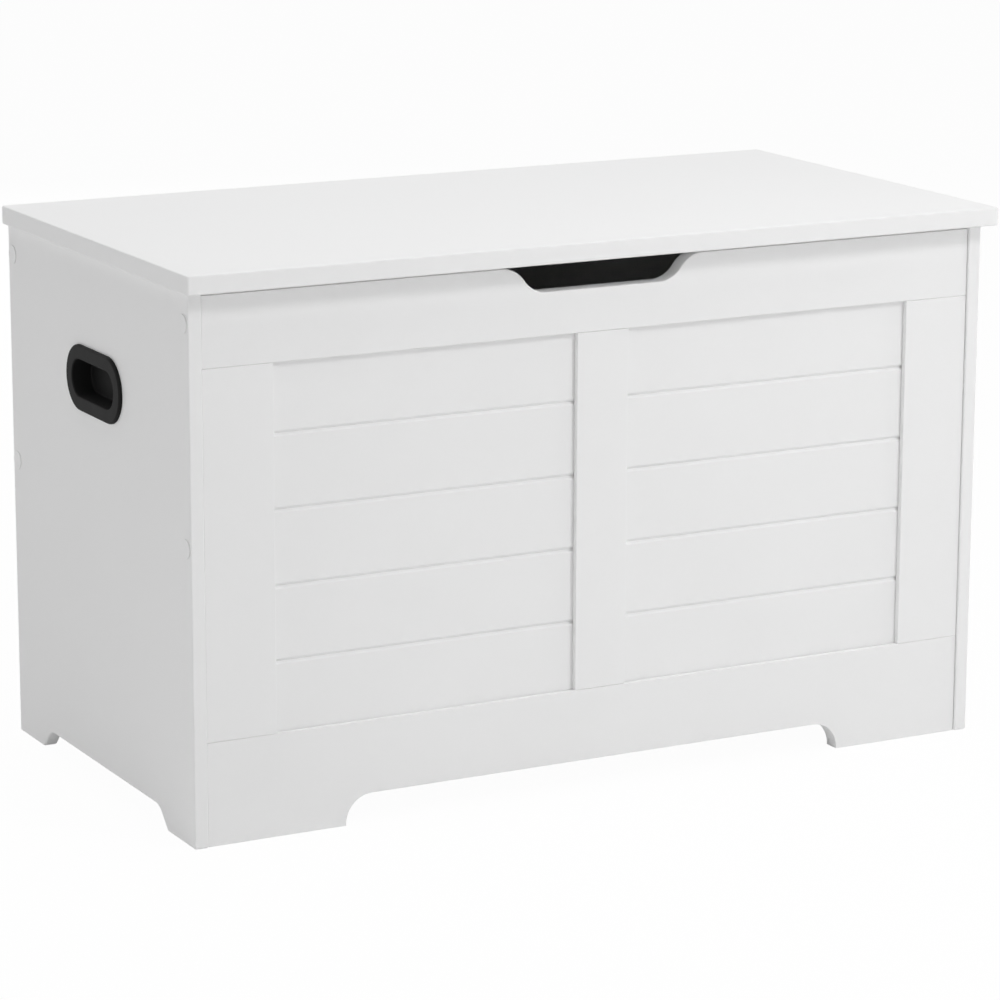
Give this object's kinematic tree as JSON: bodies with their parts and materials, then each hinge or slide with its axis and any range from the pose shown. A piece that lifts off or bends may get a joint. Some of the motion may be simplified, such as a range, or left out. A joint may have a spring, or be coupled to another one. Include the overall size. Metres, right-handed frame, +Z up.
{
  "type": "toy chest",
  "caption": "White painted wooden toy chest with a framed and slatted front, a finger slot, recessed side handles and a lift-up lid on friction hinges.",
  "frame": {"origin": "on the floor, midway across the overall width and the overall depth", "axes": "+X to the chest's right seen from its front, +Y to its back, +Z up; the front faces -Y"},
  "size_m": [0.76, 0.4068, 0.47],
  "materials": {
    "white_painted_board": "satin",
    "black_abs": "satin",
    "zinc_plated_steel": "satin",
    "spring_steel": "satin",
    "white_cap_film": "satin",
    "clear_bumper": "satin",
    "beech_dowel": "matt"
  },
  "bodies": {
    "chest": {"side_panel_left": "white_painted_board", "side_panel_right": "white_painted_board", "front_top_rail": "white_painted_board", "front_plinth_rail": "white_painted_board", "front_stile_left": "white_painted_board", "front_stile_centre": "white_painted_board", "front_stile_right": "white_painted_board", "slat_panel_left": "white_painted_board", "slat_panel_right": "white_painted_board", "back_panel": "white_painted_board", "bottom_panel": "white_painted_board", "handle_left": "black_abs", "handle_right": "black_abs", "connecting_screw_left_front_upper": "zinc_plated_steel", "connecting_screw_left_front_lower": "zinc_plated_steel", "connecting_screw_left_back_upper": "zinc_plated_steel", "connecting_screw_left_back_lower": "zinc_plated_steel", "connecting_screw_right_front_upper": "zinc_plated_steel", "connecting_screw_right_front_lower": "zinc_plated_steel", "connecting_screw_right_back_upper": "zinc_plated_steel", "connecting_screw_right_back_lower": "zinc_plated_steel", "hinge_left_back_leaf": "zinc_plated_steel", "hinge_right_back_leaf": "zinc_plated_steel", "hinge_left_pin": "zinc_plated_steel", "hinge_right_pin": "zinc_plated_steel", "hinge_left_back_screw_1": "zinc_plated_steel", "hinge_left_back_screw_2": "zinc_plated_steel", "hinge_left_back_screw_3": "zinc_plated_steel", "hinge_right_back_screw_1": "zinc_plated_steel", "hinge_right_back_screw_2": "zinc_plated_steel", "hinge_right_back_screw_3": "zinc_plated_steel", "cover_cap_left_front_upper": "white_cap_film", "cover_cap_left_front_lower": "white_cap_film", "cover_cap_left_back_upper": "white_cap_film", "cover_cap_left_back_lower": "white_cap_film", "cover_cap_right_front_upper": "white_cap_film", "cover_cap_right_front_lower": "white_cap_film", "cover_cap_right_back_upper": "white_cap_film", "cover_cap_right_back_lower": "white_cap_film", "lid_bumper_left_front": "clear_bumper", "lid_bumper_left_back": "clear_bumper", "lid_bumper_right_front": "clear_bumper", "lid_bumper_right_back": "clear_bumper", "dowel_left_front": "beech_dowel", "dowel_left_back": "beech_dowel", "dowel_right_front": "beech_dowel", "dowel_right_back": "beech_dowel"},
    "lid": {"lid": "white_painted_board", "hinge_left_lid_leaf": "zinc_plated_steel", "hinge_right_lid_leaf": "zinc_plated_steel", "hinge_left_friction_sleeve": "spring_steel", "hinge_right_friction_sleeve": "spring_steel", "hinge_left_lid_screw_1": "zinc_plated_steel", "hinge_left_lid_screw_2": "zinc_plated_steel", "hinge_left_lid_screw_3": "zinc_plated_steel", "hinge_right_lid_screw_1": "zinc_plated_steel", "hinge_right_lid_screw_2": "zinc_plated_steel", "hinge_right_lid_screw_3": "zinc_plated_steel"}
  },
  "joints": [
    {"name": "lid_hinge", "type": "hinge", "parent": "chest", "child": "lid", "pos_m": [0, 0.19885, 0.4495], "axis": [-1, 0, 0], "range_deg": [0, 90]}
  ]
}
